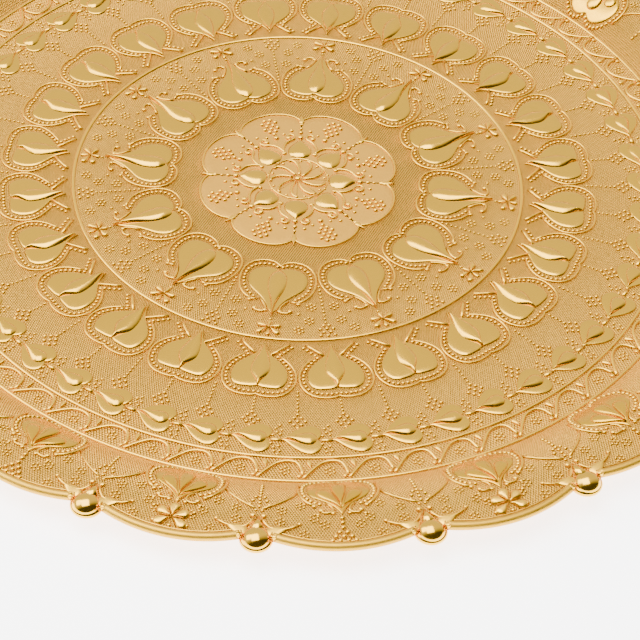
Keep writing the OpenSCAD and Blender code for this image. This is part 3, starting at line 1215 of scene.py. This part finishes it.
class TRAY_OT_border(TrayOperator, bpy.types.Operator):
    """Sweep each length of border along its scallop"""

    bl_idname = "tray.border"
    bl_label = "Border Lengths"

    def build(self, context, sheet):
        rim = context.scene.tray_rim
        radius, centre = sheet.border_r, sheet.scallop_at
        arc_r = rim.scallop_radius / MM - radius
        ball_at, half = rim.ball_at / MM, sheet.step / 2
        ends = math.atan2(ball_at * math.sin(half), ball_at * math.cos(half) - centre)
        ends -= (rim.lobe_radius / MM - 0.7) / arc_r
        for i in range(rim.scallops):
            bm = bmesh.new()
            section = [
                (centre + arc_r + radius * math.cos(a), 0.0, sheet.border_z + radius * math.sin(a))
                for a in (2 * math.pi * k / 20 for k in range(20))
            ]
            cap(bm, start_ring(bm, section))
            turn_all(bm, -ends, (centre, 0, 0))
            out = bmesh.ops.spin(
                bm, geom=bm.edges[:], cent=(centre, 0, 0), axis=(0, 0, 1), angle=2 * ends, steps=28
            )
            last = [g for g in out["geom_last"] if isinstance(g, bmesh.types.BMEdge)]
            bmesh.ops.contextual_create(bm, geom=last)
            turn_all(bm, rim.first_joint + sheet.step * (i + 0.5))
            name = f"{i + 1:02d}"
            make_piece(f"border_length_{name}", bm, border_brass(), [f"rim_border_{name}"])


class TRAY_OT_drops(TrayOperator, bpy.types.Operator):
    """Shape each cast drop: its lobe, ball, tail and curls"""

    bl_idname = "tray.drops"
    bl_label = "Cast Drops"

    def build(self, context, sheet):
        rim = context.scene.tray_rim
        ball_at, ball_r = rim.ball_at / MM, rim.ball_diameter / MM / 2
        # a broad dome, wider than it is high
        ball_z = sheet.border_z - 0.4
        ball_x = ball_at + 0.5
        ball_size = Matrix.Diagonal((1.42 * ball_r, 1.42 * ball_r, 1.05 * ball_r, 1.0))
        lobe_r = rim.lobe_radius / MM
        tip = rim.tip_at / MM
        for i in range(rim.scallops):
            bm = bmesh.new()
            # rolled lobe, a skirt that turns round the ball
            foot_z = sheet.border_z - sheet.border_r
            skirt = [(lobe_r - 0.5, 0.0, foot_z + 0.1)]
            skirt += [
                (lobe_r - 1.5 + 1.5 * math.cos(a), 0.0, sheet.border_z - 0.9 + 1.3 * math.sin(a))
                for a in (math.radians(-50 + 20 * k) for k in range(8))
            ]
            skirt += [(ball_r - 0.3, 0.0, sheet.border_z + 0.8), (ball_r - 1.0, 0.0, foot_z + 0.1)]
            start_ring(bm, skirt)
            spin_round(bm, 40)
            bmesh.ops.translate(bm, verts=bm.verts, vec=(ball_at, 0, 0))
            bmesh.ops.create_uvsphere(
                bm,
                u_segments=32,
                v_segments=20,
                radius=1.0,
                matrix=Matrix.Translation((ball_x, 0, ball_z)) @ ball_size,
            )
            start, end = Vector((tip, 0.0, sheet.border_z + 0.5)), Vector((ball_x - 1.4, 0.0, ball_z + 0.1))
            lean = (start - end).to_track_quat("Z", "Y").to_matrix().to_4x4()
            bmesh.ops.create_cone(
                bm,
                cap_ends=True,
                segments=32,
                radius1=ball_r * 0.98,
                radius2=0.2,
                depth=(start - end).length,
                matrix=Matrix.Translation((start + end) / 2) @ lean,
            )
            crown = bmesh.new()
            for sign in (1, -1):
                x, y = ball_at - 0.2, sign * 5.6
                turns = [(0.35 + 0.12 * k, k * 0.8 + 2.4) for k in range(9)]
                spiral = [(x + far * math.cos(a), y - sign * far * math.sin(a)) for far, a in turns]
                bead(crown, x, y, 1.1, smooth=True, rise=0.9)
                ridge(crown, spiral, 0.36, 1.2)
            sheet.drape(crown)
            add_to(bm, crown)
            turn_all(bm, rim.first_joint + sheet.step * i)
            name = f"{i + 1:02d}"
            make_piece(f"cast_drop_{name}", bm, drop_brass(), [f"rim_drop_{name}"])


# --------------------------------------------------------------------- stage


class TRAY_OT_stage(bpy.types.Operator):
    """Lay the pale floor and set the camera and the soft lights"""

    bl_idname = "tray.stage"
    bl_label = "Stage"

    def execute(self, context):
        scene = context.scene
        s = scene.tray_stage
        bm = bmesh.new()
        bmesh.ops.create_grid(bm, x_segments=1, y_segments=1, size=s.floor_size / 2)
        bmesh.ops.translate(bm, verts=bm.verts, vec=(0, 0, cad_box[0][2] - 0.0002))
        mesh = bpy.data.meshes.new("pale_floor")
        bm.to_mesh(mesh)
        bm.free()
        floor = bpy.data.objects.new("pale_floor", mesh)
        scene.collection.objects.link(floor)
        paper = bpy.data.materials.new("white_paper")
        paper.use_nodes = True
        shader = paper.node_tree.nodes["Principled BSDF"]
        shader.inputs["Base Color"].default_value = (0.92, 0.92, 0.92, 1.0)
        shader.inputs["Roughness"].default_value = 0.9
        shader.inputs["Emission Color"].default_value = (1.0, 1.0, 1.0, 1.0)
        shader.inputs["Emission Strength"].default_value = 4.5
        mesh.materials.append(paper)

        world = bpy.data.worlds.new("studio")
        world.use_nodes = True
        world.node_tree.nodes["Background"].inputs["Color"].default_value = (1.0, 1.0, 1.0, 1.0)
        # a pale wall behind and on the left, dimmer on the near right
        nodes, links = world.node_tree.nodes, world.node_tree.links
        look = nodes.new("ShaderNodeTexCoord")
        side = nodes.new("ShaderNodeVectorMath")
        side.operation = "DOT_PRODUCT"
        side.inputs[1].default_value = (-0.42, 0.86, 0.28)
        links.new(look.outputs["Generated"], side.inputs[0])
        level = Wires(world.node_tree).span(side.outputs["Value"], -0.15, 0.35, 0.08, 1.40)
        links.new(level, nodes["Background"].inputs["Strength"])
        scene.world = world
        soft_lights = (
            ("softbox_top", (-0.20, -0.05, 1.4), 1.2, 38.0),
            ("softbox_left", (-1.15, 0.10, 1.0), 0.9, 18.0),
        )
        for name, place, size, power in soft_lights:
            light = bpy.data.lights.new(name, "AREA")
            light.shape = "SQUARE"
            light.size = size
            light.energy = power
            lamp = bpy.data.objects.new(name, light)
            aim = -Vector(place)
            lamp.matrix_world = Matrix.Translation(place) @ aim.to_track_quat("-Z", "Y").to_matrix().to_4x4()
            scene.collection.objects.link(lamp)

        lens = bpy.data.cameras.new("camera")
        lens.lens = s.lens
        lens.sensor_width = 36.0
        lens.clip_start = 0.01
        camera = bpy.data.objects.new("camera", lens)
        camera.matrix_world = (
            Matrix.Translation(s.camera_at)
            @ Matrix.Rotation(math.pi / 2 - s.elevation, 4, "X")
            @ Matrix.Rotation(s.roll, 4, "Z")
        )
        scene.collection.objects.link(camera)
        scene.camera = camera
        return {"FINISHED"}


# -------------------------------------------------------------------- add-on

SETTINGS = (
    ("tray_sheet", TRAY_PG_sheet),
    ("tray_relief", TRAY_PG_relief),
    ("tray_rim", TRAY_PG_rim),
    ("tray_finish", TRAY_PG_finish),
    ("tray_stage", TRAY_PG_stage),
)
STEPS = (
    TRAY_OT_sheet,
    TRAY_OT_rings,
    TRAY_OT_medallion,
    TRAY_OT_inner_hearts,
    TRAY_OT_outer_hearts,
    TRAY_OT_leaf_chain,
    TRAY_OT_arches,
    TRAY_OT_rim_hearts,
    TRAY_OT_flange_motifs,
    TRAY_OT_border,
    TRAY_OT_drops,
    TRAY_OT_stage,
)


class TRAY_PT_panel(bpy.types.Panel):
    """The tray's steps and settings"""

    bl_label = "Brass Tray"
    bl_space_type = "VIEW_3D"
    bl_region_type = "UI"
    bl_category = "Brass Tray"

    def draw(self, context):
        for step in STEPS:
            self.layout.operator(step.bl_idname)
        for name, group in SETTINGS:
            box = self.layout.box()
            values = getattr(context.scene, name)
            for key in group.__annotations__:
                box.prop(values, key)


def register():
    """Registers the settings, steps and panel."""
    for name, group in SETTINGS:
        bpy.utils.register_class(group)
        setattr(bpy.types.Scene, name, bpy.props.PointerProperty(type=group))
    for step in STEPS:
        bpy.utils.register_class(step)
    bpy.utils.register_class(TRAY_PT_panel)


def unregister():
    """Removes what register added."""
    bpy.utils.unregister_class(TRAY_PT_panel)
    for step in reversed(STEPS):
        bpy.utils.unregister_class(step)
    for name, group in reversed(SETTINGS):
        delattr(bpy.types.Scene, name)
        bpy.utils.unregister_class(group)


def main():
    """Builds every piece and the stage."""
    register()
    for step in STEPS:
        group, action = step.bl_idname.split(".")
        getattr(getattr(bpy.ops, group), action)()


if __name__ == "__main__":
    main()
